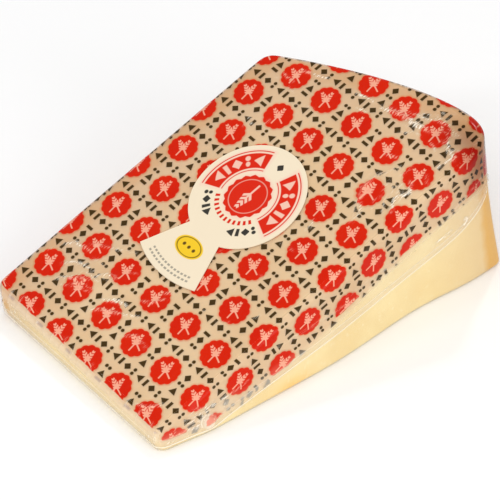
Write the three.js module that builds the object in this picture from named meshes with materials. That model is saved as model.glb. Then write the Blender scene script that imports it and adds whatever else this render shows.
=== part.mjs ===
// A wedge of hard grana cheese, sealed tightly in film, lying on one of its two radial cuts.
// Millimetres, +Z up. +X runs from the thin tip to the heel, which is the wheel's rounded rim.
// +Y runs from the near face, cut at half the wheel's height, to the wheel's own flat rind.
// The part stands with its resting face on z = 0 and its box centred on x = 0 and y = 0.
import * as THREE from 'three';
import { mergeVertices } from 'three/addons/utils/BufferGeometryUtils.js';

const { clamp, lerp } = THREE.MathUtils;

// ---------- driving dimensions, mm ----------
const baseLength = 181;       // tip to heel along the resting face, at the near side
const width = 108;            // half the height of the wheel
const tipHeight = 9.6;        // thickness left at the trimmed tip, at the near side
const heelHeight = 72.2;      // thickness at the heel, at the near side
const farRise = 4.8;          // how much higher the upper cut stands at the far side
const heelLean = 6.4;         // how far the rim leans in between the resting face and the top
const heelHollow = 1.6;       // how far the film draws the rim in between those two
const heelBarrel = 33.2;      // how far the barrel-shaped rim falls away over the width
const barrelCrest = 16;       // distance from the near face at which the rim stands out most
const barrelPower = 1.42;     // steepness of the barrel towards the wheel's flat face
const topCrown = 0.6;         // swell of the upper cut in its middle
const farTuck = 5;            // how far the tip's far lower corner is tucked under
const farTuckEnd = 60;        // distance from the tip at which that tuck ends

// Outward swell of the near face along its lower edge, and a second, smaller one by the heel.
const nearBulge = { height: 6, risesFrom: -35, fullFrom: 35, fallsFrom: 77, endsAt: 154 };
const heelBulge = { height: 2.4, along: 160, reach: 22 };

// Radii of the rounded edges, measured inwards from each face. They grow towards the heel's
// upper near corner, where the film pulls tight round the rim.
const radius = { tip: 3.5, near: 3, nearHeel: 13, far: 4.5, bottom: 2, top: 3 };
const heelRadii = { foot: 4, top: 7, nearTop: 15 };
const nearHeelFrom = 145;     // where along the length the near radius starts to grow
const nearHeelTo = 172;       // and where it is at its largest
const nearTopEnd = 40;        // distance from the near face at which the heel's is at its least

// The welt where the upper and lower films are sealed together, all round the four sides.
const weltWidth = 3.6;
const weltHeight = 0.8;
const weltAtTip = 4.4;        // height of the welt's centre line at the tip
const weltLevelTo = 24;       // how far from the tip it stays at that height
const weltRise = 0.19;        // and how much it climbs for each millimetre beyond
const weltCornerLift = 20;    // extra climb where the film is pulled up at the near heel corner
const weltCornerReach = 12;   // distance over which that climb dies away

// Film gathered into a knot on the near face, and into an ear at the far corner of the tip.
// Both die away over the last few millimetres before the next face.
const knot = { along: 23, up: 6, reachAlong: 7, reachUp: 4, height: 1.6 };
const ear = { across: 104, up: 7, reachAcross: 5, reachUp: 3.5, height: 0.7 };
const gatherFrom = 2;
const gatherTo = 9;

// Folds of the film on the upper cut: each runs from one place to another, in x and y.
const foldReach = 3.2;
const folds = [
  { from: [25, 92], to: [27, 72], height: 0.8 },
  { from: [25, 78], to: [38, 58], height: 0.7 },
  { from: [33, 91], to: [43, 74], height: 0.6 },
  { from: [147, 52], to: [155, 18], height: 0.9 },
  { from: [157, 32], to: [163, 8], height: 0.6 },
  { from: [118, 26], to: [134, 4], height: 0.8 },
  { from: [98, 16], to: [108, 3], height: 0.6 },
];

// The label stuck on the upper cut: a round seal whose flared tail points to the tip. The tail
// has straight sides that run outwards from the seal's middle and an end curved round it.
const label = {
  thickness: 0.4, clearance: 0.35, centreX: 90.6, centreY: 56.4,
  sealRadius: 24.2, neckAngle: 0.4, tailRadius: 45, tailAngle: 0.41,
};

// Numbers of grid steps along the length, across the width, and below and above the welt.
const grid = { length: 54, width: 32, low: 3, welt: 2, high: 4 };
const roundingSteps = [0, 0.586, 1];
const roundingCount = roundingSteps.length - 1;
const upCount = grid.low + grid.welt + grid.high + 2 * roundingCount;

const slope = (heelHeight - tipHeight) / (baseLength - heelLean);

// ---------- the bare form of the wedge ----------
// In these, across runs from 0 at the near side to 1 at the far side, and up from 0 to 1.
const smooth = (t) => t * t * (3 - 2 * t);
const ramp = (value, start, end) => smooth(clamp((value - start) / (end - start), 0, 1));
const hump = (value, centre, reach) => Math.exp(-(((value - centre) / reach) ** 2));

function topHeight(x, across) {
  const swell = topCrown * 4 * across * (1 - across);
  return tipHeight + slope * x + farRise * across + swell * ramp(x, 0, baseLength / 3);
}

function heelX(across, up) {
  const beyondCrest = Math.max(0, across * width - barrelCrest) / (width - barrelCrest);
  const hollow = heelHollow * 4 * up * (1 - up);
  return baseLength - heelLean * up - hollow - heelBarrel * beyondCrest ** barrelPower;
}

function nearY(x, up) {
  const { height, risesFrom, fullFrom, fallsFrom, endsAt } = nearBulge;
  const main = height * ramp(x, risesFrom, fullFrom) * (1 - ramp(x, fallsFrom, endsAt));
  const heelEnd = heelBulge.height * hump(x, heelBulge.along, heelBulge.reach);
  return -(main + heelEnd) * (1 - up);
}

function farY(x, up) {
  return width - farTuck * (1 - ramp(x, 0, farTuckEnd)) * (1 - up);
}

// ---------- what the film adds to that form ----------
function foldRelief(x, y) {
  let relief = 0;
  for (const { from, to, height } of folds) {
    const start = new THREE.Vector2(...from);
    const run = new THREE.Vector2(...to).sub(start);
    const here = new THREE.Vector2(x, y).sub(start);
    const along = clamp(here.dot(run) / run.lengthSq(), 0, 1);
    const distance = here.distanceTo(run.multiplyScalar(along));
    const fade = 0.3 + 0.7 * Math.sin(Math.PI * along);
    relief = Math.max(relief, height * fade * hump(distance, 0, foldReach));
  }
  return relief;
}

// The heel's edges are rounded most at the top, by the near face.
function heelRadiusAt(y, up) {
  const top = lerp(heelRadii.nearTop, heelRadii.top, ramp(y, 0, nearTopEnd));
  return lerp(heelRadii.foot, top, up);
}

const fromHeelCorner = (x, y) => Math.hypot(x - (baseLength - heelLean), y);

// Height of the welt's centre line at a place on the sides.
function weltZ(x, y) {
  const lift = weltCornerLift * Math.exp(-fromHeelCorner(x, y) / weltCornerReach);
  return weltAtTip + weltRise * Math.max(0, x - weltLevelTo) + lift;
}

function sideRelief(x, y, z) {
  const pulledFlat = 1 - hump(fromHeelCorner(x, y), 0, weltCornerReach);
  const welt = weltHeight * pulledFlat * hump(z, weltZ(x, y), 0.42 * weltWidth);
  const knotSide = hump(x, knot.along, knot.reachAlong) * (1 - ramp(y, gatherFrom, gatherTo));
  const knotRelief = knot.height * knotSide * hump(z, knot.up, knot.reachUp);
  const earSide = hump(y, ear.across, ear.reachAcross) * (1 - ramp(x, gatherFrom, gatherTo));
  const earRelief = ear.height * earSide * hump(z, ear.up, ear.reachUp);
  return Math.max(welt, knotRelief, earRelief);
}

// ---------- the closed grid of the wrapped wedge ----------
// Place of a grid line along an edge: three lines share each rounded end.
function station(index, count, length, startRadius, endRadius) {
  if (index <= roundingCount) return startRadius * roundingSteps[index];
  if (index >= count - roundingCount) return length - endRadius * roundingSteps[count - index];
  const fraction = (index - roundingCount) / (count - 2 * roundingCount);
  return lerp(startRadius, length - endRadius, fraction);
}

// Height of a grid line up a side, where three lines follow the welt.
function sideStation(index, height, weltCentre) {
  const first = roundingCount + grid.low;
  const last = first + grid.welt;
  if (index <= roundingCount) return radius.bottom * roundingSteps[index];
  if (index >= upCount - roundingCount) return height - radius.top * roundingSteps[upCount - index];
  const lowest = radius.bottom;
  const highest = height - radius.top;
  const room = 0.6 * weltWidth;
  const centre = clamp(weltCentre, lowest + room, highest - room);
  const under = centre - weltWidth / 2;
  const over = centre + weltWidth / 2;
  if (index < first) return lerp(lowest, under, (index - roundingCount) / grid.low);
  if (index <= last) return lerp(under, over, (index - first) / grid.welt);
  return lerp(over, highest, (index - last) / grid.high);
}

// The place of one grid crossing. Each face's place depends a little on the others, so a few
// passes settle it.
function wedgePoint(i, j, k) {
  let up = k / upCount;
  let x = baseLength * i / grid.length;
  let y = 0;
  let across = 0;
  let height = 0;
  let heelRadius = 0;
  let nearRadius = 0;
  for (let pass = 0; pass < 4; pass += 1) {
    heelRadius = heelRadiusAt(y, up);
    nearRadius = lerp(radius.near, radius.nearHeel, up * ramp(x, nearHeelFrom, nearHeelTo));
    y = station(j, grid.width, width, nearRadius, radius.far);
    across = y / width;
    x = station(i, grid.length, heelX(across, up), radius.tip, heelRadius);
    height = topHeight(x, across);
    up = sideStation(k, height, weltZ(x, y)) / height;
  }
  const near = nearY(x, up);
  const far = farY(x, up);
  const sharp = new THREE.Vector3(x, lerp(near, far, across), up * height);

  // The core is the wedge drawn in by the radii; the rounded skin lies round it.
  const core = new THREE.Vector3(
    clamp(sharp.x, radius.tip, heelX(across, up) - heelRadius),
    clamp(sharp.y, near + nearRadius, far - radius.far),
    clamp(sharp.z, radius.bottom, height - radius.top),
  );
  const offset = sharp.sub(core);
  const outward = offset.clone().normalize();
  const reach = Math.hypot(
    offset.x / (offset.x < 0 ? radius.tip : heelRadius),
    offset.y / (offset.y < 0 ? nearRadius : radius.far),
    offset.z / (offset.z < 0 ? radius.bottom : radius.top),
  );
  const sideways = Math.hypot(outward.x, outward.y);
  const upwards = Math.max(outward.z, 0);
  const relief = sideways * sideRelief(x, y, up * height) + upwards * foldRelief(x, y);
  return core.add(offset.divideScalar(reach)).addScaledVector(outward, relief);
}

function wrappedWedge() {
  const steps = [grid.length, grid.width, upCount];
  const skin = bareMesh(new THREE.BoxGeometry(...steps, ...steps));
  const place = skin.attributes.position;
  for (let n = 0; n < place.count; n += 1) {
    const i = Math.round(place.getX(n) + grid.length / 2);
    const j = Math.round(place.getY(n) + grid.width / 2);
    const k = Math.round(place.getZ(n) + upCount / 2);
    place.setXYZ(n, ...wedgePoint(i, j, k));
  }
  return skin;
}

// ---------- the label ----------
function labelOutline() {
  const { sealRadius, neckAngle, tailRadius, tailAngle } = label;
  const shape = new THREE.Shape();
  shape.absarc(0, 0, sealRadius, neckAngle, 2 * Math.PI - neckAngle, false);
  shape.absarc(0, 0, tailRadius, -tailAngle, tailAngle, false);
  shape.closePath();
  return shape;
}

function stuckLabel() {
  const skin = bareMesh(new THREE.ExtrudeGeometry(labelOutline(), {
    depth: label.thickness, bevelEnabled: false, curveSegments: 40,
  }));
  skin.rotateZ(Math.PI);
  const place = skin.attributes.position;
  for (let n = 0; n < place.count; n += 1) {
    const x = label.centreX + place.getX(n);
    const y = label.centreY + place.getY(n);
    const z = topHeight(x, y / width) + label.clearance + place.getZ(n);
    place.setXYZ(n, x, y, z);
  }
  return skin;
}

// A geometry with nothing but its places, each held once.
function bareMesh(geometry) {
  geometry.deleteAttribute('normal');
  geometry.deleteAttribute('uv');
  return mergeVertices(geometry, 0.001);
}

// ---------- the part ----------
const filmMaterial = new THREE.MeshStandardMaterial({ color: 0xe1c89b, roughness: 0.3, metalness: 0 });
const paperMaterial = new THREE.MeshStandardMaterial({ color: 0xf5ebd7, roughness: 0.45, metalness: 0 });

const wedgeMesh = new THREE.Mesh(wrappedWedge(), filmMaterial);
wedgeMesh.name = 'wrapped_wedge';

const labelMesh = new THREE.Mesh(stuckLabel(), paperMaterial);
labelMesh.name = 'label';

// The pieces are placed together so that the whole stands centred on the origin.
const pieces = new THREE.Group();
pieces.add(wedgeMesh, labelMesh);
const bounds = new THREE.Box3().setFromObject(pieces);
const middle = bounds.getCenter(new THREE.Vector3());
pieces.position.set(-middle.x, -middle.y, -bounds.min.z);

const part = new THREE.Group();
part.add(pieces);

export default part;
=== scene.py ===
"""A wedge of hard cheese in printed film: the looks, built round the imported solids."""
import math
import random

import bpy
import numpy as np
from bpy.props import FloatProperty, FloatVectorProperty, PointerProperty
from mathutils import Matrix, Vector


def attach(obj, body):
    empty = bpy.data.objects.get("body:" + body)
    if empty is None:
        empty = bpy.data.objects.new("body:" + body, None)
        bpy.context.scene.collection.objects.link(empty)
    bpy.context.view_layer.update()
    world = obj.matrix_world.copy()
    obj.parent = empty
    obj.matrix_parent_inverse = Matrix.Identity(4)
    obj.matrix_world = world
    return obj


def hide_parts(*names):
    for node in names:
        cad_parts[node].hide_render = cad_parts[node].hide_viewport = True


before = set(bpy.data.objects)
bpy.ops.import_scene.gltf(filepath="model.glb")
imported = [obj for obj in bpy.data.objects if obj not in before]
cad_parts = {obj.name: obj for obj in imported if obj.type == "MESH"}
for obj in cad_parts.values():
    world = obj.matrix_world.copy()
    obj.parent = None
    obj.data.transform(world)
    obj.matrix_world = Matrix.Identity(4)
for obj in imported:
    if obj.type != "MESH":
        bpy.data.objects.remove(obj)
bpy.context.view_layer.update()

bl_info = {
    "name": "Wrapped cheese wedge",
    "version": (1, 0, 0),
    "blender": (4, 5, 0),
    "location": "3D View > Sidebar > Cheese",
    "description": "Makes a wedge of hard cheese, its tight printed film and its label",
    "category": "Add Mesh",
}

MM = 0.001

# The wedge's own coordinates, in millimetres: x runs from the tip, y from the near face.
# The frame's origin lies under the middle of the wedge.
TIP_CORNER = (-89.932, -51.563, 0.0)

# Form of the wedge, as its solid has it.
BASE_LENGTH = 181.0
WIDTH = 108.0
TIP_HEIGHT = 9.6
HEEL_HEIGHT = 72.2
FAR_RISE = 4.8
HEEL_LEAN = 6.4
HEEL_HOLLOW = 1.6
HEEL_BARREL = 33.2
BARREL_CREST = 16.0
BARREL_POWER = 1.42
WELT_AT_TIP = 4.4
WELT_LEVEL_TO = 24.0
WELT_RISE = 0.19
WELT_CORNER_LIFT = 20.0
WELT_CORNER_REACH = 12.0
LABEL_MIDDLE = (90.6, 56.4)
SLOPE = (HEEL_HEIGHT - TIP_HEIGHT) / (BASE_LENGTH - HEEL_LEAN)
TILT = math.atan(SLOPE)

# Where the film's print ends, in millimetres.
TIP_PRINT_DROP = 1.0    # how far it runs down the tip
TIP_PRINT_FADE = 2.5    # and how much faster it ends there than on the sides
PRINT_ABOVE_WELD = 1.2  # it ends at least this far above the weld's middle
PRINT_START = 6.2       # how far into its pattern it starts at the tip
NO_PRINT = 30.0         # how far past the print's end the underside counts as

# The weld between the upper and the lower film.
WELD_HALF = 1.5         # half its width
RIDGE_REACH = 0.45      # half the width of the ridge along each of its edges
WELD_FINE = 0.4         # the film's grid is finer this near to a ridge
CREASE_FINE = 0.74      # and this near to a crease, where 1 is on it
NO_WELD = -60.0         # distance from the weld that the upper and lower faces count as

# Which way a place of the film faces, from the length of its normal's parts.
FACES_DOWN = -0.7       # upright part: under this it is on the underside
FACES_SIDE = 0.15       # level part: above this it is on a side
FULLY_SIDE = (0.6, 0.9)  # and over this stretch it comes to be wholly on one
FACES_TIP = 0.7         # share of the level part that points to the tip, on the tip's face

# Spots on the near face, in x and z.
GOLDEN_SPOT = (64.0, 1.5)   # golden paste, low down
GOLDEN_REACH = (9.0, 4.0)
KNOT = (22.5, 6.0)          # the film's gathered knot
KNOT_REACH = 3.4
BY_KNOT = (31.5, 9.0)       # milky film beside it
BY_KNOT_REACH = (7.0, 3.0)
# The shade spot is painted shade where the film turns away from the light, browned as by the rind
# beneath.
PAINTED_SHADE = (166.0, 61.0)       # brown shade where the film turns round the heel
PAINTED_SHADE_REACH = (9.5, 15.0)

# The film's print, in millimetres.
COLUMN_PITCH = 18.3
ROW_PITCH = 19.4
MARKS_TO_A_PITCH = 5
ROSETTE_RADIUS = 6.1
ROSETTE_LOBES = 12
LOBE_HEIGHT = 0.5
HALO_REACH = 0.5
EAR_LEANS = (70, 6)     # degrees from the length of the wedge
PRINT_EDGE = 0.28       # width of the soft edge of the film's print
LABEL_EDGE = 0.3        # and of the label's

# Values that each place of the film has for its material.
FILM_ATTRIBUTES = ("past_print", "haze_and_glint", "frost_and_highlight", "painted_shade", "blush_and_painted_light", "from_weld")

# Colours that go with those a user would change, as display values from 0 to 255.
TONES = {
    "fleck": (255, 244, 214), "golden paste": (250, 200, 104),
    "lower film": (246, 230, 194), "upper film": (240, 228, 204),
    # The heel's brown tone is painted shade; the tip's pink is a real fringe made lighter as painted
    # light.
    "halo": (246, 140, 96), "painted_shade": (162, 112, 78), "blush_and_painted_light": (254, 222, 200),
    # The milk tones stand for milky film and also for painted glints.
    "milk_and_glint": (252, 242, 224), "milk on red": (250, 186, 160),
    "label glow": (240, 200, 180), "label marks": (240, 200, 178), "label ink": (52, 50, 44),
    "gold": (238, 196, 38), "brown": (96, 72, 18), "grey ink": (120, 118, 108),
    "floor": (254, 254, 254), "floor cloud": (252, 252, 252),
}

# Depths below the rind, in millimetres, over which the paste changes.
CRUST_DEPTHS = (0.2, 2.4)
RIND_DEPTHS = (7.8, 11.4)
HEEL_PASTE_DEPTHS = (9.0, 40.0)

# The lamps: place, size and power.
LAMPS = {
    "key": ((-0.9, -0.9, 1.5), 0.9, 12.0),
    "fill": ((0.1, -1.6, 0.9), 0.9, 7.0),
    "left spark": ((-1.3, 0.2, 0.8), 0.2, 2.5),
    "right spark": ((0.8, 0.6, 1.4), 0.12, 3.0),
}
WORLD_LIGHT = 0.6
FLOOR_SIZE = 6.0
CAMERA_AIM = (-3.706, -2.118, 24.294)


# ---------- the wedge's form, for arrays of places ----------
def own(points):
    """Places in metres in the frame, as x, y, z columns in the wedge's own millimetres."""
    return (points / MM - np.array(TIP_CORNER)).T


def top_height(x, y):
    return TIP_HEIGHT + SLOPE * x + FAR_RISE * y / WIDTH


def heel_x(y, z):
    up = np.clip(z / HEEL_HEIGHT, 0, 1)
    beyond = np.maximum(0, y - BARREL_CREST) / (WIDTH - BARREL_CREST)
    hollow = HEEL_HOLLOW * 4 * up * (1 - up)
    return BASE_LENGTH - HEEL_LEAN * up - hollow - HEEL_BARREL * beyond ** BARREL_POWER


def welt_height(x, y):
    corner = np.hypot(x - (BASE_LENGTH - HEEL_LEAN), y)
    lift = WELT_CORNER_LIFT * np.exp(-corner / WELT_CORNER_REACH)
    return WELT_AT_TIP + WELT_RISE * np.maximum(0, x - WELT_LEVEL_TO) + lift


def ramp(value, start, end):
    t = np.clip((value - start) / (end - start), 0, 1)
    return t * t * (3 - 2 * t)


def hump(value, reach):
    return np.exp(-((value / reach) ** 2))


def spot(x, z, middle, reach):
    """1 at a place on the near face, fading out round it."""
    return hump(np.hypot((x - middle[0]) / reach[0], (z - middle[1]) / reach[1]), 1)


# ---------- the film's creases ----------
# The film is thought of as one flat sheet: s runs along the sloping upper cut from the tip, and
# t across it from the near edge. Down a side, both go on over the edge, as the unfolded sheet does.
def sheet_place(x, y, drop, nx, ny):
    s = x / math.cos(TILT) + drop * (nx - np.abs(ny) * math.sin(TILT))
    t = y + drop * math.cos(TILT) * ny
    return s, t


def on_top(x, y):
    return (x / math.cos(TILT), y)


def on_near_side(x, z):
    drop = float(top_height(x, 0)) - z
    return (x / math.cos(TILT) - drop * math.sin(TILT), -drop * math.cos(TILT))


# Each crease: its path, how far the film stands out there, its reach to each side, how milky it
# looks with its painted glints, and how much print is tucked away on each side of it. All but the
# milk in millimetres.
CREASES = (
    ([on_top(152.5, 46), on_top(155.5, 37), on_top(155.5, 29), on_top(157, 24)],
     0.9, 1.3, 2.4, 0.8),
    ([on_top(143.5, 88), on_top(145, 84), on_top(146, 79.8), on_top(148.3, 75)], 0.4, 0.9, 0.9, 0.1),
    ([on_top(138.2, 93), on_top(138, 86)], 0.3, 0.8, 0.8, 0.1),
    ([on_top(150.5, 60), on_top(151.2, 57), on_top(152.3, 51)], 0.4, 0.9, 0.9, 0.2),
    ([on_top(146, 54.5), on_top(147, 50)], 0.3, 0.8, 0.9, 0.1),
    ([on_top(139, 28.5), on_top(141, 23.5)], 0.3, 0.8, 0.8, 0.1),
    ([on_top(162.8, 23), on_top(164.2, 18)], 0.4, 0.9, 1.1, 0.2),
    ([on_top(29.5, 99), on_top(33, 95), on_top(34, 88)], 0.5, 1.0, 1.0, 0.3),
    ([on_top(23.5, 65), on_top(26.8, 60), on_top(27.5, 55)], 0.5, 1.0, 1.2, 0.3),
    ([on_top(41, 48), on_top(43.5, 45)], 0.3, 0.8, 0.8, 0.1),
    ([on_top(158, 36), on_top(160.5, 27), on_top(165.5, 21)], 0.5, 0.9, 0.6, 0.4),
    ([on_top(160, 14), on_top(156.3, 10.5), on_top(155.5, 5), on_top(148.5, 7)], 0.6, 1.0, 1.2, 0.8),
    ([on_top(139, 18.5), on_top(130.5, 23), on_top(122.5, 23), on_top(112, 16)], 0.7, 1.2, 0.35, 2.2),
    ([on_top(137, 10), on_top(133.5, 6.5), on_top(128, 9), on_top(123, 6)], 0.7, 1.0, 1.2, 1.0),
    ([on_top(118, 18), on_top(115, 15.2), on_top(111, 14.5)], 0.4, 0.8, 0.6, 0.5),
    ([on_top(101, 27), on_top(98.4, 25.5), on_top(96, 26)], 0.4, 0.8, 0.7, 0.3),
    ([on_top(17, 89), on_top(20.5, 85), on_top(25.3, 78)], 0.8, 1.0, 0.6, 0.9),
    ([on_top(23, 92), on_top(26.8, 88), on_top(29, 80)], 0.6, 0.9, 0.7, 0.5),
    ([on_top(27, 77), on_top(31.7, 73), on_top(33, 68)], 0.6, 0.9, 0.8, 0.7),
    ([on_top(17, 66), on_top(20, 62.5), on_top(24, 54), on_top(28, 47)], 0.5, 0.9, 0.7, 0.5),
    ([on_top(18, 46), on_top(22, 41), on_top(21, 33)], 0.4, 0.8, 0.5, 0.3),
    ([on_top(33, 52), on_top(35.3, 48), on_top(40, 45)], 0.4, 0.8, 0.7, 0.2),
    ([on_top(36, 90), on_top(41, 80), on_top(45, 72)], 0.45, 1.0, 0.35, 0.5),
    ([on_top(50, 72), on_top(49.5, 66), on_top(54, 60)], 0.35, 0.9, 0.3, 0.3),
    ([on_top(3, 17), on_top(5.2, 12), on_top(10, 8)], 0.5, 0.9, 0.7, 0.5),
    ([on_top(168, 60), on_top(165, 66), on_top(167, 74)], 0.3, 0.8, 0.5, 0.2),
    ([on_near_side(60, 21), on_near_side(100, 25), on_near_side(150, 38)], 0.25, 1.0, 0.25, 0.0),
    ([on_near_side(95, 28), on_near_side(140, 37), on_near_side(171, 56)], 0.25, 1.0, 0.25, 0.0),
    ([on_near_side(12, 8.5), on_near_side(30, 9), on_near_side(44, 12)], 0.5, 0.9, 0.6, 0.2),
    ([on_near_side(153.5, 31), on_near_side(156.5, 36)], 0.5, 0.9, 2.4, 0.0),
    ([on_near_side(141, 30.5), on_near_side(149, 33)], 0.3, 0.8, 1.2, 0.0),
)

# Places where the film is crumpled: the middle in the sheet, how far it reaches, how many small
# creases, their length, their direction in degrees and how much that varies, height, and milk with
# painted glints.
CRUMPLES = (
    (on_top(27, 78), (11, 14), 22, 6, -62, 30, 0.32, 0.45),
    (on_top(158, 22), (9, 18), 16, 6, -80, 35, 0.30, 0.45),
    (on_top(127, 14), (14, 10), 14, 6, 20, 30, 0.28, 0.40),
    (on_top(60, 30), (26, 22), 10, 5, -50, 45, 0.16, 0.25),
    (on_top(130, 85), (26, 16), 9, 4, -60, 45, 0.16, 0.35),
    (on_near_side(20, 6), (12, 6), 30, 5, 15, 45, 0.45, 0.75),
    ((-7, 97), (5, 9), 22, 5, 70, 30, 0.40, 0.60),
    ((-6, 2), (5, 8), 18, 5, 60, 40, 0.40, 0.60),
)


def all_creases():
    """The creases of the list, the crumples' small ones, and the gathers along the tip."""
    chance = random.Random(11)
    creases = list(CREASES)
    for (s, t), (reach_s, reach_t), count, length, turn, spread, height, milk_and_glint in CRUMPLES:
        for _ in range(count):
            middle = (s + chance.gauss(0, 0.5) * reach_s, t + chance.gauss(0, 0.5) * reach_t)
            angle = math.radians(turn + chance.uniform(-spread, spread))
            half = length * chance.uniform(0.25, 0.6)
            bend = chance.uniform(-0.25, 0.25) * half
            along = (math.cos(angle) * half, math.sin(angle) * half)
            kink = (middle[0] - math.sin(angle) * bend, middle[1] + math.cos(angle) * bend)
            path = [(middle[0] - along[0], middle[1] - along[1]), kink,
                    (middle[0] + along[0], middle[1] + along[1])]
            share = chance.uniform(0.5, 1.0)
            creases.append((path, height * share, chance.uniform(0.6, 0.9), milk_and_glint * share, 0.2))
    t = 5.0
    while t < WIDTH - 3:
        down = chance.uniform(4.5, 7.5)
        onto = chance.uniform(0.5, 4.0)
        path = [(-down, t + chance.uniform(-1.5, 1.5)), (0.0, t), (onto, t + chance.uniform(-1, 1))]
        creases.append((path, chance.uniform(0.2, 0.45), 0.8, 0.35, 0.2))
        t += chance.uniform(4.5, 9.5)
    return creases


# How far a crease's effects reach, as shares of its own reach.
MILK_REACH = 0.75
GRID_REACH = 2.2
TUCK_REACH = 1.8
TUCK_LEAST = 0.35       # millimetres from a crease's line where its pull is greatest


def crease_effects(s, t, creases):
    """For each place on the sheet: its rise, milkiness with painted glints and print shift, and how
    near a crease is.
    """
    rise, milk_and_glint, nearness = np.zeros(len(s)), np.zeros(len(s)), np.zeros(len(s))
    shift_s, shift_t = np.zeros(len(s)), np.zeros(len(s))
    for path, height, reach, haze_and_glint, tuck in creases:
        corners = np.array(path)
        margin = 4 * reach + 3
        low, high = corners.min(0) - margin, corners.max(0) + margin
        near = np.flatnonzero((s > low[0]) & (s < high[0]) & (t > low[1]) & (t < high[1]))
        if not len(near):
            continue
        distance = np.full(len(near), 1e9)
        away_s, away_t = np.zeros(len(near)), np.zeros(len(near))
        position = np.zeros(len(near))
        pieces = len(path) - 1
        for number, ((s0, t0), (s1, t1)) in enumerate(zip(path, path[1:])):
            run_s, run_t = s1 - s0, t1 - t0
            share = ((s[near] - s0) * run_s + (t[near] - t0) * run_t) / (run_s ** 2 + run_t ** 2)
            share = np.clip(share, 0, 1)
            gap_s, gap_t = s[near] - s0 - share * run_s, t[near] - t0 - share * run_t
            gap = np.hypot(gap_s, gap_t)
            closer = gap < distance
            distance = np.where(closer, gap, distance)
            away_s, away_t = np.where(closer, gap_s, away_s), np.where(closer, gap_t, away_t)
            position = np.where(closer, (number + share) / pieces, position)
        fade = np.sin(np.pi * (0.08 + 0.84 * position)) ** 0.7
        rise[near] = np.maximum(rise[near], height * np.exp(-((distance / reach) ** 1.3)) * fade)
        milk_and_glint[near] = np.maximum(milk_and_glint[near], haze_and_glint * hump(distance, MILK_REACH * reach) * fade)
        nearness[near] = np.maximum(nearness[near], 1 - distance / (GRID_REACH * reach))
        pull = tuck * fade * np.exp(-distance / (TUCK_REACH * reach))
        pull /= np.maximum(distance, TUCK_LEAST)
        shift_s[near] += pull * away_s
        shift_t[near] += pull * away_t
    return rise, milk_and_glint, shift_s, shift_t, nearness


# ---------- meshes ----------
def deselect_all():
    if bpy.context.object and bpy.context.object.mode != "OBJECT":
        bpy.ops.object.mode_set(mode="OBJECT")
    bpy.ops.object.select_all(action="DESELECT")


def pick(piece):
    deselect_all()
    piece.select_set(True)
    bpy.context.view_layer.objects.active = piece


def smooth_copy(node, name, levels):
    """A closed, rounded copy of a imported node, in quads, with its modifiers applied."""
    piece = bpy.data.objects.new(name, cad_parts[node].data.copy())
    piece.data.name = name
    bpy.context.scene.collection.objects.link(piece)
    piece.data.materials.clear()
    pick(piece)
    bpy.ops.object.mode_set(mode="EDIT")
    bpy.ops.mesh.select_all(action="SELECT")
    bpy.ops.mesh.remove_doubles(threshold=0.02 * MM)
    bpy.ops.mesh.tris_convert_to_quads(face_threshold=math.pi, shape_threshold=math.pi)
    bpy.ops.mesh.normals_make_consistent(inside=False)
    bpy.ops.object.mode_set(mode="OBJECT")
    rounder = piece.modifiers.new("rounder", "SUBSURF")
    rounder.levels = rounder.render_levels = levels
    bpy.ops.object.modifier_apply(modifier=rounder.name)
    bpy.ops.object.shade_smooth()
    return piece


def places(piece):
    points = np.empty(len(piece.data.vertices) * 3)
    piece.data.vertices.foreach_get("co", points)
    return points.reshape(-1, 3)


def directions(piece):
    normals = np.empty(len(piece.data.vertices) * 3)
    piece.data.vertices.foreach_get("normal", normals)
    return normals.reshape(-1, 3)


def put_places(piece, points):
    piece.data.vertices.foreach_set("co", points.ravel())
    piece.data.update()


def put_attribute(piece, name, values):
    layer = piece.data.attributes.new(name, "FLOAT", "POINT")
    layer.data.foreach_set("value", np.asarray(values, dtype=np.float32))


def put_uv(piece, name, across, along):
    """A UV map from two values for each vertex."""
    layer = piece.data.uv_layers.new(name=name)
    corner_vertex = np.empty(len(piece.data.loops), dtype=np.int64)
    piece.data.loops.foreach_get("vertex_index", corner_vertex)
    pairs = np.stack([across[corner_vertex], along[corner_vertex]], axis=1)
    layer.data.foreach_set("uv", pairs.astype(np.float32).ravel())


def dress(piece, material, slot, *nodes):
    piece.data.materials.append(material)
    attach(piece, "root")
    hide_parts(*nodes)


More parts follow.
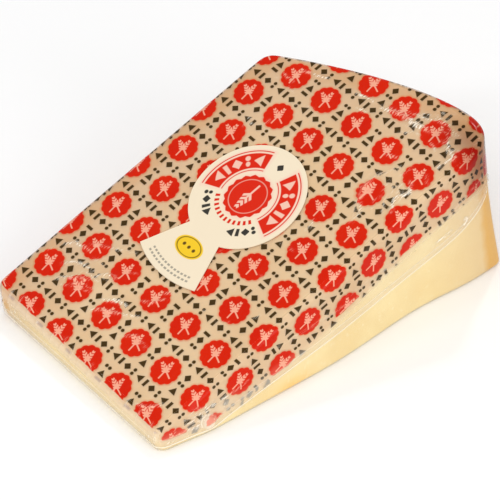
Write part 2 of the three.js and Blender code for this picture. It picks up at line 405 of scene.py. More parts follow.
# ---------- shader trees ----------
class Wiring:
    """Adds nodes to one shader tree and joins them."""

    def __init__(self, tree):
        self.tree = tree

    def add(self, kind, inputs=(), **settings):
        node = self.tree.nodes.new(kind)
        for key, value in settings.items():
            setattr(node, key, value)
        for key, value in dict(inputs).items():
            self.feed(node.inputs[key], value)
        return node

    def feed(self, socket, value):
        if isinstance(value, bpy.types.NodeSocket):
            self.tree.links.new(value, socket)
        elif value is not None:
            socket.default_value = value

    def calc(self, operation, *values, clamp=False):
        node = self.add("ShaderNodeMath", operation=operation, use_clamp=clamp)
        for socket, value in zip(node.inputs, values):
            self.feed(socket, value)
        return node.outputs[0]

    def chain(self, operation, first, *others):
        """One operation over several values in turn."""
        for value in others:
            first = self.calc(operation, first, value)
        return first

    def plus(self, *values):
        return self.chain("ADD", *values)

    def times(self, *values):
        return self.chain("MULTIPLY", *values)

    def largest(self, *values):
        return self.chain("MAXIMUM", *values)

    def minus(self, first, second):
        return self.calc("SUBTRACT", first, second)

    def size(self, value):
        return self.calc("ABSOLUTE", value)

    def distance(self, u, v):
        return self.calc("SQRT", self.plus(self.times(u, u), self.times(v, v)))

    def wrapped(self, value, pitch):
        return self.calc("FLOORED_MODULO", value, pitch)

    def in_cell(self, value, pitch):
        """Distance from the middle of the repeat's cell that a value lies in."""
        return self.minus(self.wrapped(value, pitch), pitch / 2)

    def cell_number(self, value, pitch):
        return self.calc("FLOOR", self.calc("DIVIDE", value, pitch))

    def step(self, value, start, end, low=0.0, high=1.0):
        """A clamped ramp from low to high as value goes from start to end."""
        keys = {"Value": value, "From Min": start, "From Max": end, "To Min": low, "To Max": high}
        return self.add("ShaderNodeMapRange", keys).outputs["Result"]

    def inside(self, value, edge, soft):
        """1 where value is under edge, falling to 0 over the width soft."""
        shifted = self.minus(value, edge)
        return self.step(shifted, -soft / 2, soft / 2, 1.0, 0.0)

    def stripe(self, value, middle, half, soft):
        """1 where value is within half of middle, falling to 0 over the width soft."""
        return self.inside(self.size(self.minus(value, middle)), half, soft)

    def blend(self, share, first, second, mode="MIX"):
        node = self.add("ShaderNodeMix", data_type="RGBA", blend_type=mode)
        self.feed(node.inputs[0], share)
        self.feed(node.inputs[6], first)
        self.feed(node.inputs[7], second)
        return node.outputs[2]

    def paint(self, color, *layers):
        """Lay colours over the first, each given as its mask, the mask's share and the colour."""
        for mask, share, layer in layers:
            mask = mask if share == 1 else self.times(mask, share)
            color = self.blend(mask, color, layer)
        return color

    def noise(self, vector, scale, detail=2.0, rough=0.5):
        keys = {"Vector": vector, "Scale": scale, "Detail": detail, "Roughness": rough}
        return self.add("ShaderNodeTexNoise", keys).outputs["Fac"]

    def stretched(self, vector, scale_x, scale_y):
        keys = {"Vector": vector, "Scale": (scale_x, scale_y, 1.0)}
        return self.add("ShaderNodeMapping", keys).outputs["Vector"]

    def attribute(self, name):
        return self.add("ShaderNodeAttribute", attribute_name=name).outputs["Fac"]

    def place(self):
        return self.add("ShaderNodeTexCoord").outputs["Object"]

    def split(self, vector):
        node = self.add("ShaderNodeSeparateXYZ", {"Vector": vector})
        return node.outputs["X"], node.outputs["Y"]


def linear(red, green, blue):
    """A colour given in the usual 0 to 255 display values, as a shader colour."""
    channels = []
    for value in (red / 255, green / 255, blue / 255):
        channels.append(value / 12.92 if value <= 0.04045 else ((value + 0.055) / 1.055) ** 2.4)
    return (*channels, 1.0)


def tone(name):
    return linear(*TONES[name])


def opaque(color):
    return (*color, 1.0)


def new_material(name):
    material = bpy.data.materials.new(name)
    material.use_nodes = True
    material.node_tree.nodes.clear()
    wires = Wiring(material.node_tree)
    shader = wires.add("ShaderNodeBsdfPrincipled")
    output = wires.add("ShaderNodeOutputMaterial")
    material.node_tree.links.new(shader.outputs["BSDF"], output.inputs["Surface"])
    return material, wires, shader


def finish_surface(wires, shader, color, roughness, relief, strength, depth):
    """Join a colour, a roughness and a height to the shader, with the height as bump."""
    keys = {"Height": relief, "Strength": strength, "Distance": depth}
    wires.feed(shader.inputs["Base Color"], color)
    wires.feed(shader.inputs["Roughness"], roughness)
    wires.feed(shader.inputs["Normal"], wires.add("ShaderNodeBump", keys).outputs["Normal"])


# ---------- the printed pattern ----------
def print_group():
    """Node group: masks of the film's red rosettes, their pale figures and the small dark marks."""
    group = bpy.data.node_groups.new("film print", "ShaderNodeTree")
    made = group.interface.new_socket
    made("Vector", in_out="INPUT", socket_type="NodeSocketVector")
    for name in ("Rosette", "Halo", "Figure", "Mark"):
        made(name, in_out="OUTPUT", socket_type="NodeSocketFloat")
    wires = Wiring(group)
    source = wires.add("NodeGroupInput")
    target = wires.add("NodeGroupOutput")
    along, across = wires.split(source.outputs["Vector"])

    # Columns run across the wedge, and every other one is moved by half a row.
    odd = wires.wrapped(wires.cell_number(along, COLUMN_PITCH), 2.0)
    moved = wires.calc("MULTIPLY_ADD", odd, ROW_PITCH / 2, across)
    u = wires.in_cell(along, COLUMN_PITCH)
    v = wires.in_cell(moved, ROW_PITCH)

    # A rosette with a scalloped rim.
    angle = wires.calc("ARCTAN2", v, u)
    lobes = wires.size(wires.calc("COSINE", wires.times(angle, ROSETTE_LOBES / 2)))
    rim = wires.calc("MULTIPLY_ADD", lobes, LOBE_HEIGHT, ROSETTE_RADIUS)
    from_rim = wires.minus(wires.distance(u, v), rim)
    rosette = wires.inside(from_rim, 0.0, PRINT_EDGE)
    halo = wires.inside(from_rim, HALO_REACH, 2 * HALO_REACH)

    # Two crossed ears of grain in the rosette.
    ears = []
    for lean in map(math.radians, EAR_LEANS):
        p = wires.plus(wires.times(u, math.cos(lean)), wires.times(v, math.sin(lean)))
        q = wires.minus(wires.times(v, math.cos(lean)), wires.times(u, math.sin(lean)))
        ears.append(grain_ear(wires, p, wires.size(q), PRINT_EDGE))
    figure = wires.largest(*ears)

    # Rows of small marks: along each column's side, and between the rosettes of a column.
    pitch = ROW_PITCH / MARKS_TO_A_PITCH
    from_side = wires.minus(COLUMN_PITCH / 2, wires.size(u))
    from_side = wires.times(from_side, wires.calc("SIGN", u))
    side_marks = mark_shapes(
        wires, from_side, wires.in_cell(across, pitch), wires.cell_number(across, pitch), PRINT_EDGE)
    pitch = COLUMN_PITCH / MARKS_TO_A_PITCH
    from_row = wires.minus(ROW_PITCH / 2, wires.size(v))
    row_marks = mark_shapes(
        wires, from_row, wires.in_cell(along, pitch), wires.cell_number(along, pitch), PRINT_EDGE)
    row_marks = wires.times(row_marks, wires.inside(wires.size(u), pitch * 1.5, 0.05))
    marks = wires.largest(side_marks, row_marks)

    for name, value in (("Rosette", rosette), ("Halo", halo), ("Figure", figure), ("Mark", marks)):
        group.links.new(value, target.inputs[name])
    return group


def grain_ear(wires, p, beside, soft):
    """An ear of grain along p: chevrons of paired grains that narrow to a point, on a stalk."""
    foot, top, grain_pitch, blunt = -1.6, 4.4, 1.5, 0.1
    lead = wires.calc("MULTIPLY_ADD", beside, -0.85, p)
    chevron = wires.wrapped(wires.minus(lead, foot), grain_pitch)
    grains = wires.stripe(chevron, grain_pitch / 2, 0.5, soft)
    half_width = wires.step(lead, foot, top, 1.75, 0.45)
    body = wires.inside(wires.minus(beside, half_width), 0.0, soft)
    starts = wires.step(lead, foot - blunt, foot + blunt)
    ends = wires.step(lead, top - blunt, top + blunt, 1.0, 0.0)
    ear = wires.times(grains, body, starts, ends)
    stalk = wires.times(wires.inside(beside, 0.3, soft), wires.stripe(p, -2.0, 2.4, soft))
    return wires.largest(ear, stalk)


def mark_shapes(wires, a, b, index, soft):
    """Plain marks that take turns: a lozenge, a bar, a wedge and a pair of dots."""
    wide, tall = wires.size(a), wires.size(b)
    lozenge = wires.inside(wires.calc("MULTIPLY_ADD", wide, 1.1, tall), 1.9, soft)
    bar = wires.times(wires.inside(wide, 1.7, soft), wires.inside(tall, 0.72, soft))
    leaning = wires.calc("MULTIPLY_ADD", b, 0.6, wide)
    wedge = wires.times(wires.inside(leaning, 1.0, soft), wires.inside(tall, 1.55, soft))
    dots = wires.inside(wires.distance(wires.minus(wide, 0.98), tall), 0.84, soft)
    shapes = (lozenge, bar, wedge, dots)
    turn = wires.wrapped(index, float(len(shapes)))
    shown = []
    for number, shape in enumerate(shapes):
        shown.append(wires.times(wires.calc("COMPARE", turn, float(number), 0.5), shape))
    return wires.plus(*shown)


# ---------- materials ----------
def cheese_material(looks):
    material, wires, shader = new_material("hard cheese")
    place = wires.place()
    grain = wires.noise(place, 900.0, 3.0, 0.6)
    cloud = wires.step(wires.noise(place, 60.0), 0.35, 0.65)
    fleck = wires.step(wires.noise(place, 420.0, 2.0, 0.55), 0.62, 0.72)
    unevenness = wires.step(wires.noise(place, 220.0), 0.3, 0.7, -0.5, 0.5)
    depth = wires.plus(wires.attribute("rind_depth"), unevenness)
    color = wires.paint(
        opaque(looks.paste),
        (cloud, 1, opaque(looks.paste_deep)),
        (fleck, 0.35, tone("fleck")),
        (wires.step(depth, *HEEL_PASTE_DEPTHS, 0.9, 0.0), 1, opaque(looks.paste_heel)),
        (wires.attribute("golden"), 1, tone("golden paste")),
        (wires.step(depth, *RIND_DEPTHS, 1.0, 0.0), 1, opaque(looks.rind)),
        (wires.step(depth, *CRUST_DEPTHS, 1.0, 0.0), 0.7, opaque(looks.crust)),
    )
    roughness = wires.step(grain, 0.3, 0.7, 0.42, 0.6)
    finish_surface(wires, shader, color, roughness, grain, 0.25, 0.4 * MM)
    return material


def film_material(looks, print_nodes):
    material, wires, shader = new_material("printed film")
    place = wires.place()
    uv = wires.add("ShaderNodeUVMap", uv_map="print").outputs["UV"]
    printed = wires.add("ShaderNodeGroup", {"Vector": uv}, node_tree=print_nodes).outputs
    past, haze_and_glint, frost_and_highlight, painted_shade, blush_and_painted_light, from_weld = map(wires.attribute, FILM_ATTRIBUTES)

    # How far each ink reaches past the print's cut, in millimetres, and a milky fringe there.
    unevenness = wires.step(wires.noise(place, 300.0, 1.0), 0.3, 0.7, -0.3, 0.3)
    past = wires.plus(past, unevenness)
    red_field = wires.inside(past, 0.0, 0.5)
    mark_field = wires.inside(past, 2.4, 0.5)
    ground_field = wires.inside(past, 2.0, 4.0)
    fringe = wires.times(wires.inside(past, 3.6, 4.5), wires.step(past, 1.4, 2.4))
    rosette = wires.times(printed["Rosette"], red_field)
    halo = wires.times(printed["Halo"], red_field)
    figure = wires.times(printed["Figure"], rosette)
    mark = wires.times(printed["Mark"], mark_field, wires.minus(1.0, halo))

    # Creased film is milky, with painted glints, in fine broken streaks, which run along the wedge.
    strokes = wires.noise(wires.stretched(uv, 0.34, 1.5), 1.0, 3.0, 0.6)
    strokes = wires.step(strokes, 0.48, 0.58, 0.1, 2.2)
    threads = wires.noise(wires.stretched(uv, 0.05, 0.9), 1.0, 3.0)
    threads = wires.step(threads, 0.35, 0.65, 0.15, 0.5)

    # The weld: two bright lines with paler film between them, and a soft band above.
    upper_line = wires.stripe(from_weld, WELD_HALF, 0.28, 0.3)
    lower_line = wires.stripe(from_weld, -WELD_HALF, 0.34, 0.3)
    band = wires.stripe(from_weld, 0.0, WELD_HALF, 0.4)
    above = wires.step(from_weld, WELD_HALF, 5.0, 0.22, 0.0)
    above = wires.times(above, wires.step(from_weld, 0.0, 0.2))
    # All the milk together: milky film, and painted glints on the creases and on the knot's rim.
    milk_and_glint = wires.largest(
        wires.calc("MULTIPLY", haze_and_glint, strokes, clamp=True), wires.times(fringe, threads),
        wires.times(upper_line, 0.6), lower_line, wires.times(band, 0.4), above, frost_and_highlight,
    )

    # From the clear lower film up: ground, print, the heel's painted shade, the tip's blush lightened
    # as painted light, and milk with painted glints.
    upper = wires.step(from_weld, -WELD_HALF, 0.3 - WELD_HALF)
    clear = wires.blend(upper, tone("lower film"), tone("upper film"))
    tint = wires.noise(place, 45.0, 3.0, 0.55)
    ground = wires.blend(wires.step(tint, 0.3, 0.7), opaque(looks.ground), opaque(looks.ground_warm))
    red = wires.blend(wires.step(tint, 0.35, 0.65), opaque(looks.red), opaque(looks.red_deep))
    color = wires.paint(
        clear,
        (ground_field, 1, ground),
        (halo, 0.75, tone("halo")),
        (mark, 1, opaque(looks.mark)),
        (rosette, 1, red),
        (figure, 0.85, opaque(looks.figure)),
    )
    # A painted shade: the colour darkened and browned where the film turns round the heel, partly the
    # rind showing through.
    painted_shade_color = wires.blend(1.0, color, tone("painted_shade"), mode="MULTIPLY")
    unprinted = wires.minus(1.0, red_field)
    # The milk here is milky film and also painted glints on the creases.
    milk_and_glint_share = wires.times(milk_and_glint, wires.step(rosette, 0.0, 1.0, 0.9, 0.7))
    milk_and_glint_color = wires.blend(rosette, tone("milk_and_glint"), tone("milk on red"))
    color = wires.paint(
        color,
        (painted_shade, 1, painted_shade_color),
        (wires.times(blush_and_painted_light, unprinted), 1, tone("blush_and_painted_light")),
        (milk_and_glint_share, 1, milk_and_glint_color),
    )
    film_cover = wires.step(upper, 0.0, 1.0, 0.1, 0.24)
    cover = wires.largest(
        wires.calc("MULTIPLY_ADD", ground_field, 0.32, film_cover),
        wires.times(halo, 0.65), wires.times(mark, 0.95), wires.times(rosette, 0.97),
        wires.times(milk_and_glint, 0.85), painted_shade, blush_and_painted_light,
    )

    ripple = wires.noise(place, 110.0, 3.0)
    crinkle = wires.times(haze_and_glint, wires.noise(place, 900.0, 3.0, 0.55))
    relief = wires.calc("MULTIPLY_ADD", crinkle, 0.7, ripple)
    finish_surface(wires, shader, color, wires.step(ripple, 0.3, 0.7, 0.1, 0.18), relief, 0.3, MM)
    wires.feed(shader.inputs["Alpha"], cover)
    wires.feed(shader.inputs["Specular IOR Level"], 0.12)
    return material


def label_material(looks):
    material, wires, shader = new_material("label paper")
    place = wires.place()
    middle = (LABEL_MIDDLE[0] + TIP_CORNER[0], LABEL_MIDDLE[1] + TIP_CORNER[1])
    local = wires.add("ShaderNodeMapping", {
        "Vector": place, "Scale": (1 / MM, 1 / MM, 1 / MM), "Location": (-middle[0], -middle[1], 0),
    }).outputs["Vector"]
    u, v = wires.split(local)
    radius = wires.distance(u, v)
    angle = wires.calc("ARCTAN2", v, u)
    from_heel = wires.size(angle)

    arc_inner, arc_outer, arc_middle, arc_half = 13.4, 20.4, 66, 45
    mark_circle = (arc_inner + arc_outer) / 2

    def ring(inner, outer):
        return wires.stripe(radius, (inner + outer) / 2, (outer - inner) / 2, LABEL_EDGE)

    def sector(middle, half, soft=0.02):
        """1 on both sides of the seal, at turns from the heel within half of middle, in degrees."""
        return wires.stripe(from_heel, math.radians(middle), math.radians(half), soft)

    def marks_round(pitch, offset, squeeze_out=1.0, squeeze_round=1.0):
        """Small marks round the seal, a pitch apart, in degrees."""
        turn, pitch = wires.plus(from_heel, math.radians(offset)), math.radians(pitch)
        outward = wires.times(wires.minus(radius, mark_circle), squeeze_out)
        around = wires.times(wires.in_cell(turn, pitch), mark_circle, squeeze_round)
        return mark_shapes(wires, outward, around, wires.cell_number(turn, pitch), LABEL_EDGE)

    # Two wide red arcs, one on the near side and one on the far side, with pale marks in them.
    in_arc = sector(arc_middle, arc_half)
    arcs = wires.times(ring(arc_inner, arc_outer), in_arc)
    lines = wires.times(wires.largest(ring(12.2, 12.6), ring(21.2, 21.7)), in_arc)
    arc_marks = marks_round(15, 1.5, 0.72, 0.85)
    arc_marks = wires.times(arc_marks, sector(arc_middle, arc_half - 7.5), arcs)

    # A toothed badge in the middle, with an ear of grain.
    tooth_count, tooth_height, badge_radius = 16, 0.8, 9.4
    teeth = wires.calc("PINGPONG", wires.times(angle, tooth_count / math.pi), 1.0)
    badge_rim = wires.calc("MULTIPLY_ADD", teeth, tooth_height, badge_radius)
    badge = wires.inside(wires.minus(radius, badge_rim), 0.0, LABEL_EDGE)
    ear_scale = 1.45
    p = wires.times(u, -1 / ear_scale)
    beside = wires.times(wires.size(v), 1 / ear_scale)
    ear = grain_ear(wires, p, beside, LABEL_EDGE / 1.5)

    # Small dark marks between the arcs, on the heel side and on each side of the tail, and a
    # row of red dashes on the tail's side of the badge.
    dark = wires.times(marks_round(11, 5.5), wires.largest(sector(0, 5.5), sector(137.5, 22)))
    dash_turn = wires.in_cell(from_heel, math.radians(10))
    red_dashes = wires.stripe(dash_turn, 0.0, math.radians(2.6), 0.02)
    tail_side = wires.step(from_heel, math.radians(119.9), math.radians(120))
    red_dashes = wires.times(red_dashes, ring(11.6, 13.6), tail_side)

    # A gold oval across the tail, with a brown line round it and a row of three brown dots.
    oval_middle, oval_half, oval_squeeze = 30.2, 4.5, 0.62
    dot_pitch, dot_radius = 2.9, 0.75
    tail_u = wires.plus(u, oval_middle)
    from_middle = wires.distance(tail_u, wires.times(v, oval_squeeze))
    gold = wires.inside(from_middle, oval_half, LABEL_EDGE)
    outline = wires.stripe(from_middle, oval_half - 0.7, 0.16, LABEL_EDGE)
    dot_v = wires.in_cell(wires.plus(v, dot_pitch / 2), dot_pitch)
    dots = wires.inside(wires.distance(tail_u, dot_v), dot_radius, LABEL_EDGE)
    dots = wires.times(dots, wires.inside(wires.size(v), 1.5 * dot_pitch, LABEL_EDGE))
    brown = wires.largest(outline, dots)

    # Two rows of grey dashes along the tail's end.
    tail_end, row_pitch, dashes_to_a_radian = 43.4, 1.9, 43.0
    from_end = wires.minus(tail_end, radius)
    dash = wires.wrapped(wires.times(from_heel, dashes_to_a_radian), 2.0)
    rows = wires.times(
        wires.stripe(wires.in_cell(from_end, row_pitch), 0.0, 0.42, LABEL_EDGE),
        wires.stripe(from_end, row_pitch, row_pitch, LABEL_EDGE),
        sector(180, 17),
        wires.stripe(dash, 1.0, 0.62, LABEL_EDGE),
    )

    # A faint warm glow of ink round the red, and the label's colours from the paper up.
    arc_glow = wires.times(ring(11.6, 22.4), sector(arc_middle, arc_half + 3, 0.1))
    glow = wires.largest(arc_glow, wires.inside(radius, 10.8, 1.5))
    badge_line = wires.times(ring(7.7, 8.1), 0.6)
    color = wires.paint(
        opaque(looks.paper),
        (glow, 0.7, tone("label glow")),
        (wires.largest(arcs, lines, badge, red_dashes), 1, opaque(looks.red)),
        (wires.largest(arc_marks, wires.times(ear, badge), badge_line), 0.9, tone("label marks")),
        (dark, 1, tone("label ink")),
        (gold, 1, tone("gold")),
        (brown, 1, tone("brown")),
        (rows, 0.75, tone("grey ink")),
    )
    fibres = wires.noise(place, 1400.0, 2.0, 0.6)
    roughness = wires.step(fibres, 0.3, 0.7, 0.3, 0.42)
    finish_surface(wires, shader, color, roughness, wires.noise(place, 120.0), 0.12, MM)
    wires.feed(shader.inputs["Specular IOR Level"], 0.2)
    return material


def floor_material():
    material, wires, shader = new_material("pale floor")
    mottle = wires.noise(wires.place(), 8.0)
    color = wires.blend(mottle, tone("floor"), tone("floor cloud"))
    wires.feed(shader.inputs["Base Color"], color)
    wires.feed(shader.inputs["Roughness"], 0.9)
    return material


# ---------- what a user would change ----------
def color_property(name, text, red, green, blue):
    return FloatVectorProperty(
        name=name, description=text, subtype="COLOR", size=3, min=0, max=1,
        default=linear(red, green, blue)[:3],
    )


def size_property(name, text, millimetres):
    return FloatProperty(
        name=name, description=text, default=millimetres * MM, min=0, unit="LENGTH", precision=5)


class CheeseLooks(bpy.types.PropertyGroup):
    """Colours of the cheese, the film and the label"""
    paste: color_property("Paste", "Colour of the cut cheese", 245, 224, 167)
    paste_deep: color_property("Deep paste", "Darker clouds in the cut cheese", 239, 213, 152)
    paste_heel: color_property("Heel paste", "Darker paste on the way to the rind", 223, 192, 140)
    rind: color_property("Rind", "Colour of the band under the rind", 220, 166, 68)
    crust: color_property("Crust", "Colour of the rind's outer skin", 205, 150, 84)
    ground: color_property("Ground", "Tint of the printed film", 234, 204, 176)
    ground_warm: color_property("Warm ground", "Warmer tint of the printed film", 227, 191, 158)
    red: color_property("Red", "Colour of the rosettes", 213, 33, 0)
    red_deep: color_property("Deep red", "Darker red of the rosettes", 206, 27, 0)
    figure: color_property("Figure", "Colour of the ears in the rosettes", 245, 180, 150)
    mark: color_property("Marks", "Colour of the small dark marks", 62, 44, 14)
    paper: color_property("Label", "Colour of the label's paper", 237, 221, 193)


class WrapSizes(bpy.types.PropertyGroup):
    """Sizes of the film's fit, its print and its relief"""
    gap: size_property("Gap", "How far the cheese lies inside the film", 0.5)
    print_drop: size_property("Print drop", "How far the print runs down the sides", 19.0)
    ridge: size_property("Ridge", "Height of the ridges along the weld", 0.3)
    knot: size_property("Knot", "How far the gathered knot stands out of the film", 0.9)
    crease: FloatProperty(name="Creases", description="Share of the creases' full height",
                          default=1.0, min=0, max=2, subtype="FACTOR")


class ViewSetup(bpy.types.PropertyGroup):
    """Where the camera stands"""
    azimuth: FloatProperty(name="Azimuth", description="Turn of the camera round the wedge",
                           default=math.radians(-38.5), subtype="ANGLE")
    elevation: FloatProperty(name="Elevation", description="Angle of the camera above the floor",
                             default=math.radians(40.9), subtype="ANGLE")
    distance: FloatProperty(name="Distance", description="Distance from the camera to its aim",
                            default=1.421, unit="LENGTH")
    lens: FloatProperty(name="Lens", description="Focal length in millimetres", default=252.0)


# ---------- operators ----------
class MESH_OT_cheese(bpy.types.Operator):
    """Make the cheese itself, just inside the film"""
    bl_idname = "mesh.wrapped_cheese_body"
    bl_label = "Cheese"

    def execute(self, context):
        cheese = smooth_copy("wrapped_wedge", "cheese", 1)
        pick(cheese)
        bpy.ops.object.mode_set(mode="EDIT")
        bpy.ops.mesh.select_all(action="SELECT")
        bpy.ops.transform.shrink_fatten(value=-context.scene.wrap_sizes.gap)
        bpy.ops.object.mode_set(mode="OBJECT")
        x, y, z = own(places(cheese))
        depth = np.minimum(heel_x(y, z) - x, WIDTH - y)
        put_attribute(cheese, "rind_depth", np.maximum(depth, 0))
        on_near_face = y < 20
        golden = spot(x, z, GOLDEN_SPOT, GOLDEN_REACH)
        put_attribute(cheese, "golden", 0.8 * golden * on_near_face)
        dress(cheese, cheese_material(context.scene.cheese_looks), "cheese", "wrapped_wedge")
        return {"FINISHED"}


class MESH_OT_film(bpy.types.Operator):
    """Make the tight printed film round the cheese"""
    bl_idname = "mesh.wrapped_cheese_film"
    bl_label = "Film"

    def execute(self, context):
        sizes = context.scene.wrap_sizes
        film = smooth_copy("wrapped_wedge", "film", 2)
        self.merge_underside(film)
        creases = all_creases()
        x, y, z, normals, s, t, drop = self.on_sheet(film)
        nearness = crease_effects(s, t, creases)[-1]
        on_side = np.hypot(normals[:, 0], normals[:, 1]) > FULLY_SIDE[0]
        from_ridge = np.abs(np.abs(z - welt_height(x, y)) - WELD_HALF)
        self.refine(film, (nearness > CREASE_FINE) | (on_side & (from_ridge < WELD_FINE)))

        x, y, z, normals, s, t, drop = self.on_sheet(film)
        sideways = np.hypot(normals[:, 0], normals[:, 1])
        under = normals[:, 2] < FACES_DOWN
        rise, milk_and_glint, shift_s, shift_t, _ = crease_effects(s, t, creases)
        rise, milk_and_glint = np.where(under, 0, rise * sizes.crease), np.where(under, 0, milk_and_glint)

        # Two fine ridges run along the weld.
        from_weld = z - welt_height(x, y)
        upper_ridge = hump(from_weld - WELD_HALF, RIDGE_REACH)
        lower_ridge = hump(from_weld + WELD_HALF, RIDGE_REACH)
        ridge = np.maximum(upper_ridge, lower_ridge) * ramp(sideways, *FULLY_SIDE)
        rise = np.maximum(rise, sizes.ridge / MM * ridge)

        # The film's gathered knot on the near face is a milky dome with a painted highlight on its
        # rim.
        near_face = (y < 6) * ramp(sideways, 0.4, 0.8)
        from_knot = np.hypot(x - KNOT[0], 1.1 * (z - KNOT[1]))
        dome = np.sqrt(np.maximum(0, 1 - (from_knot / KNOT_REACH) ** 2))
        rise = np.maximum(rise, sizes.knot / MM * dome * near_face)
        over_knot = 0.85 * np.exp(-((from_knot / KNOT_REACH) ** 6))
        # The rim's brightness is a painted highlight along the dome's upper edge.
        rim = hump(from_knot - KNOT_REACH, RIDGE_REACH) * (z > KNOT[1] - 1)
        by_knot = 0.5 * spot(x, z, BY_KNOT, BY_KNOT_REACH)
        frost_and_highlight = np.maximum(np.maximum(over_knot, rim), by_knot) * near_face

        # How far beyond the print's cut a place is: the print stops at the tip's upper edge, and
        # above the weld, for the lower film is clear.
        on_side = sideways > FACES_SIDE
        to_tip = (normals[:, 0] < -FACES_TIP * sideways) & on_side
        past_tip = TIP_PRINT_FADE * (drop - TIP_PRINT_DROP)
        past = np.where(to_tip, past_tip, drop - sizes.print_drop / MM)
        past = np.where(on_side, np.maximum(past, PRINT_ABOVE_WELD - from_weld), past)

        put_places(film, places(film) + normals * (rise * MM)[:, None])
        put_uv(film, "print", s + shift_s + PRINT_START, t + shift_t)
        values = (
            np.where(under, NO_PRINT, past),
            milk_and_glint,
            frost_and_highlight,
            # Painted shade round the heel's near corner, browned as by the rind beneath.
            spot(x, z, PAINTED_SHADE, PAINTED_SHADE_REACH) * (1 - ramp(y, 8, 28)),
            # The tip's pink fringe under the print's cut, made lighter as painted light.
            np.where(to_tip, 0.5 * (1 - ramp(drop, 2, 9)), 0),
            np.where(sideways > 0.5, from_weld, NO_WELD),
        )
        for name, numbers in zip(FILM_ATTRIBUTES, values):
            put_attribute(film, name, numbers)
        dress(film, film_material(context.scene.cheese_looks, print_group()), "film", "wrapped_wedge")
        return {"FINISHED"}

    def on_sheet(self, film):
        """The film's places, directions, places on the unfolded sheet, and drops below its edge."""
        normals = directions(film)
        x, y, z = own(places(film))
        sideways = np.hypot(normals[:, 0], normals[:, 1])
        below = np.maximum(top_height(x, y) - z, 0)
        drop = np.where(normals[:, 2] < FACES_DOWN, below, below * ramp(sideways, 0.05, 0.5))
        turn = np.maximum(sideways, 1e-6)
        s, t = sheet_place(x, y, drop, normals[:, 0] / turn, normals[:, 1] / turn)
        return x, y, z, normals, s, t, drop

    def merge_underside(self, film):
        """The flat underside needs no fine grid."""
        mesh = film.data
        facing = np.empty(len(mesh.polygons) * 3)
        mesh.polygons.foreach_get("normal", facing)
        self.edit_faces(film, facing.reshape(-1, 3)[:, 2] < -0.9995)
        bpy.ops.mesh.dissolve_limited(angle_limit=math.radians(2))
        bpy.ops.object.mode_set(mode="OBJECT")

    def refine(self, film, wanted):
        """Halve the grid wherever a face touches a wanted vertex."""
        mesh = film.data
        corner_vertex = np.empty(len(mesh.loops), dtype=np.int64)
        mesh.loops.foreach_get("vertex_index", corner_vertex)
        starts = np.empty(len(mesh.polygons), dtype=np.int64)
        mesh.polygons.foreach_get("loop_start", starts)
        corners = np.empty(len(mesh.polygons), dtype=np.int64)
        mesh.polygons.foreach_get("loop_total", corners)
        touched = np.maximum.reduceat(wanted[corner_vertex].astype(np.int64), starts)
        self.edit_faces(film, (touched > 0) & (corners == 4))
        bpy.ops.mesh.subdivide(number_cuts=1, smoothness=1.0)
        bpy.ops.object.mode_set(mode="OBJECT")

    def edit_faces(self, film, chosen):
        """Enter edit mode with just these faces selected."""
        pick(film)
        bpy.ops.object.mode_set(mode="EDIT")
        bpy.ops.mesh.select_mode(type="FACE")
        bpy.ops.mesh.select_all(action="DESELECT")
        bpy.ops.object.mode_set(mode="OBJECT")
        film.data.polygons.foreach_set("select", chosen)
        bpy.ops.object.mode_set(mode="EDIT")


class MESH_OT_label(bpy.types.Operator):
    """Finish the label that is stuck on the film"""
    bl_idname = "mesh.wrapped_cheese_label"
    bl_label = "Label"

    def execute(self, context):
        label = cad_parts["label"]
        label.data.materials.clear()
        label.data.materials.append(label_material(context.scene.cheese_looks))
        return {"FINISHED"}


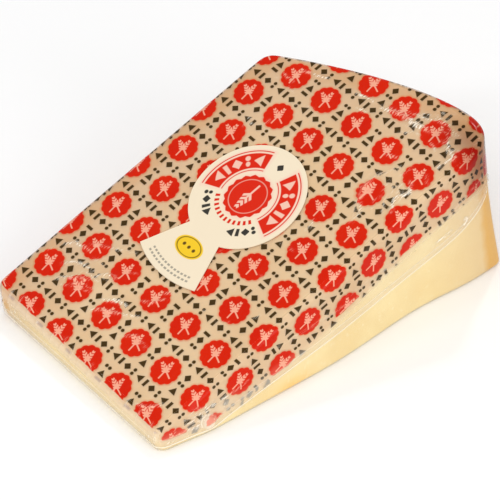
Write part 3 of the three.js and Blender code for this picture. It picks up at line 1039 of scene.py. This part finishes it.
class SCENE_OT_stage(bpy.types.Operator):
    """Make the floor, the lights and the camera"""
    bl_idname = "scene.wrapped_cheese_stage"
    bl_label = "Stage"

    def execute(self, context):
        deselect_all()
        bpy.ops.mesh.primitive_plane_add(size=FLOOR_SIZE, location=(0, 0, 0))
        floor = context.object
        floor.name = "floor"
        floor.data.materials.append(floor_material())

        world = bpy.data.worlds.new("studio")
        context.scene.world = world
        world.use_nodes = True
        background = world.node_tree.nodes["Background"]
        background.inputs["Color"].default_value = (1.0, 1.0, 1.0, 1.0)
        background.inputs["Strength"].default_value = WORLD_LIGHT
        for name, (place, size, power) in LAMPS.items():
            self.lamp(name, place, size, power)
        self.camera(context)
        context.scene.view_settings.view_transform = "Standard"
        return {"FINISHED"}

    def lamp(self, name, place, size, power):
        bpy.ops.object.light_add(type="AREA", location=place)
        lamp = bpy.context.object
        lamp.name = name
        lamp.data.size = size
        lamp.data.energy = power
        lamp.rotation_euler = Vector(place).to_track_quat("Z", "Y").to_euler()

    def camera(self, context):
        view = context.scene.cheese_view
        flat = math.cos(view.elevation)
        back = Vector((
            math.sin(view.azimuth) * flat, -math.cos(view.azimuth) * flat, math.sin(view.elevation)))
        place = Vector(CAMERA_AIM) * MM + back * view.distance
        bpy.ops.object.camera_add(location=place)
        camera = context.object
        camera.rotation_euler = back.to_track_quat("Z", "Y").to_euler()
        camera.data.lens = view.lens
        camera.data.sensor_width = 36.0
        camera.data.clip_start = 0.05
        camera.data.clip_end = 50.0
        context.scene.camera = camera


class VIEW3D_PT_cheese(bpy.types.Panel):
    """Lists the steps and what they use"""
    bl_label = "Wrapped cheese wedge"
    bl_idname = "VIEW3D_PT_wrapped_cheese"
    bl_space_type = "VIEW_3D"
    bl_region_type = "UI"
    bl_category = "Cheese"

    def draw(self, context):
        layout = self.layout
        for step in STEPS:
            layout.operator(step.bl_idname)
        for name in SETTINGS:
            group = getattr(context.scene, name)
            for key in group.bl_rna.properties.keys():
                if key not in ("rna_type", "name"):
                    layout.prop(group, key)


SETTINGS = {"cheese_looks": CheeseLooks, "wrap_sizes": WrapSizes, "cheese_view": ViewSetup}
STEPS = (MESH_OT_cheese, MESH_OT_film, MESH_OT_label, SCENE_OT_stage)
CLASSES = (*SETTINGS.values(), *STEPS, VIEW3D_PT_cheese)


def register():
    for item in CLASSES:
        bpy.utils.register_class(item)
    for name, group in SETTINGS.items():
        setattr(bpy.types.Scene, name, PointerProperty(type=group))


def unregister():
    for name in SETTINGS:
        delattr(bpy.types.Scene, name)
    for item in reversed(CLASSES):
        bpy.utils.unregister_class(item)


def main():
    register()
    bpy.ops.mesh.wrapped_cheese_body()
    bpy.ops.mesh.wrapped_cheese_film()
    bpy.ops.mesh.wrapped_cheese_label()
    bpy.ops.scene.wrapped_cheese_stage()


if __name__ == "__main__":
    main()
